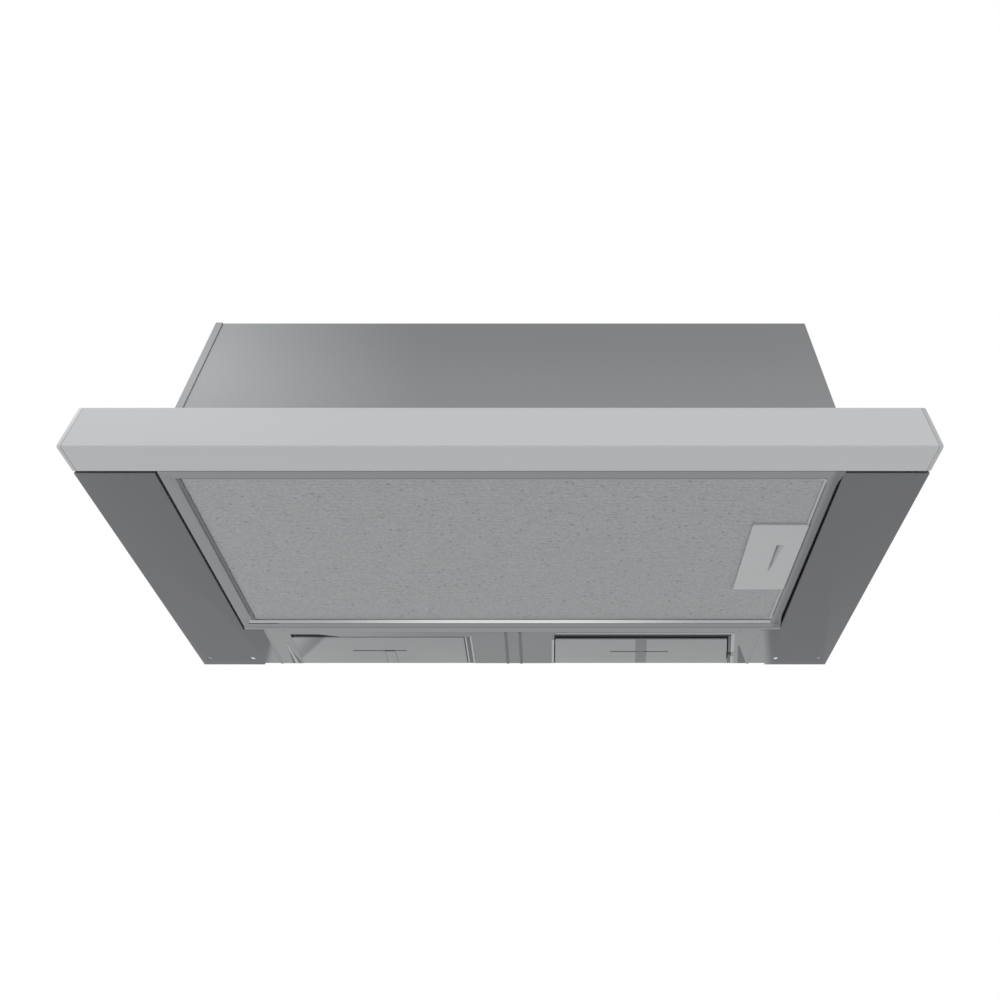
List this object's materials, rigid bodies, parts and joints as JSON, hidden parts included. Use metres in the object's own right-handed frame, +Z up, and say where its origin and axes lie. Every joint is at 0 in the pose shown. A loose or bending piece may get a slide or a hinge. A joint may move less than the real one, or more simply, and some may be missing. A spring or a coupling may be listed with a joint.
{
  "type": "built-in range hood",
  "caption": "Slimline built-in cooker hood: wide aluminium fascia on a pull-out grease filter drawer, lamps at the rear, blower box with round duct collar on top.",
  "frame": {"origin": "middle of the underside's outline, at the height of the fascia's lower edge", "axes": "+X along the fascia to the right as seen from the front, +Y from the fascia to the wall, +Z up"},
  "size_m": [0.6, 0.296, 0.22],
  "materials": {
    "body_steel": "satin grey coated sheet steel",
    "inlet_steel": "satin grey coated sheet steel",
    "cover_paint": "dark grey satin coat",
    "panel_steel": "satin steel",
    "screw_steel": "bright plated steel",
    "tray_enamel": "white reflector enamel",
    "holder_ceramic": "heat-proof white socket",
    "bulb_glass": "opal glass",
    "cover_plastic": "frosted translucent plastic",
    "zinc_steel": "bright zinc-coated steel",
    "filter_aluminium": "satin aluminium",
    "mesh_aluminium": "expanded aluminium mesh",
    "wadding_aluminium": "knitted wire",
    "fascia_aluminium": "satin anodised aluminium",
    "cap_plastic": "grey plastic",
    "frame_steel": "satin grey coat",
    "nylon": "white nylon",
    "latch_plastic": "light grey plastic",
    "casing_plastic": "black moulded plastic",
    "grommet_rubber": "black rubber",
    "motor_steel": "cast and pressed motor shell",
    "cap_case": "white capacitor case",
    "wheel_steel": "zinc-coated sheet steel",
    "knob_plastic": "grey plastic"
  },
  "bodies": {
    "housing": {"front_panel": "body_steel", "side_panel_left": "body_steel", "side_panel_right": "body_steel", "rear_panel": "body_steel", "top_plate": "body_steel", "inlet_plate": "inlet_steel", "wing_left": "body_steel", "wing_right": "body_steel", "wing_cover_left": "cover_paint", "wing_cover_right": "cover_paint", "cover_screws": "screw_steel", "rear_rail": "panel_steel", "lamp_panel": "panel_steel", "lamp_tray_left": "tray_enamel", "lamp_tray_right": "tray_enamel", "lamp_holder_left": "holder_ceramic", "lamp_holder_right": "holder_ceramic", "lamp_bulb_left": "bulb_glass", "lamp_bulb_right": "bulb_glass", "guide_left": "zinc_steel", "guide_right": "zinc_steel", "inner_filter_frame": "filter_aluminium", "inner_filter_mesh": "mesh_aluminium", "inner_filter_clips": "screw_steel", "scroll_left": "casing_plastic", "scroll_right": "casing_plastic", "motor_case": "motor_steel", "motor_bracket": "zinc_steel", "motor_grommets": "grommet_rubber", "capacitor": "cap_case", "terminal_box": "casing_plastic", "cable_gland": "casing_plastic", "outlet_spigot": "casing_plastic", "damper_pin": "screw_steel", "switch_block": "casing_plastic"},
    "drawer": {"fascia": "fascia_aluminium", "end_cap_left": "cap_plastic", "end_cap_right": "cap_plastic", "drawer_frame": "frame_steel", "drawer_rail_left": "zinc_steel", "drawer_rail_right": "zinc_steel", "rail_glides": "nylon"},
    "filter": {"filter_frame": "filter_aluminium", "filter_mesh_lower": "mesh_aluminium", "filter_wadding": "wadding_aluminium", "filter_mesh_upper": "mesh_aluminium", "latch_housing": "latch_plastic"},
    "latch": {"latch_slider": "latch_plastic"},
    "impeller": {"motor_shaft": "wheel_steel", "impeller_disc": "wheel_steel", "impeller_blades": "wheel_steel", "impeller_rings": "wheel_steel"},
    "damper_front": {"damper_flap_front": "casing_plastic"},
    "damper_rear": {"damper_flap_rear": "casing_plastic"},
    "lamp_cover_left": {"lamp_cover_left": "cover_plastic"},
    "lamp_cover_right": {"lamp_cover_right": "cover_plastic"},
    "light_switch": {"light_slider": "knob_plastic"},
    "speed_switch": {"speed_slider": "knob_plastic"}
  },
  "joints": [
    {"name": "drawer_slide", "type": "slide", "parent": "housing", "child": "drawer", "axis": [0, -1, 0], "range_m": [0, 0.177]},
    {"name": "filter_swing", "type": "hinge", "parent": "drawer", "child": "filter", "pos_m": [-0.223, -0.022, 0.0061], "axis": [0, 1, 0], "range_deg": [0, 75]},
    {"name": "latch_slide", "type": "slide", "parent": "filter", "child": "latch", "axis": [1, 0, 0], "range_m": [0, 0.004]},
    {"name": "impeller_spin", "type": "hinge", "parent": "housing", "child": "impeller", "pos_m": [0, -0.0385, 0.115], "axis": [1, 0, 0], "continuous": true},
    {"name": "damper_front_swing", "type": "hinge", "parent": "housing", "child": "damper_front", "pos_m": [0, 0.01, 0.19], "axis": [-1, 0, 0], "range_deg": [0, 75]},
    {"name": "damper_rear_swing", "type": "hinge", "parent": "housing", "child": "damper_rear", "pos_m": [0, 0.01, 0.19], "axis": [1, 0, 0], "range_deg": [0, 75]},
    {"name": "lamp_cover_left_swing", "type": "hinge", "parent": "housing", "child": "lamp_cover_left", "pos_m": [-0.121, 0.142, 0.0032], "axis": [1, 0, 0], "range_deg": [0, 80]},
    {"name": "lamp_cover_right_swing", "type": "hinge", "parent": "housing", "child": "lamp_cover_right", "pos_m": [0.121, 0.142, 0.0032], "axis": [1, 0, 0], "range_deg": [0, 80]},
    {"name": "light_switch_slide", "type": "slide", "parent": "housing", "child": "light_switch", "axis": [1, 0, 0], "range_m": [0, 0.008]},
    {"name": "speed_switch_slide", "type": "slide", "parent": "housing", "child": "speed_switch", "axis": [1, 0, 0], "range_m": [0, 0.016]}
  ]
}
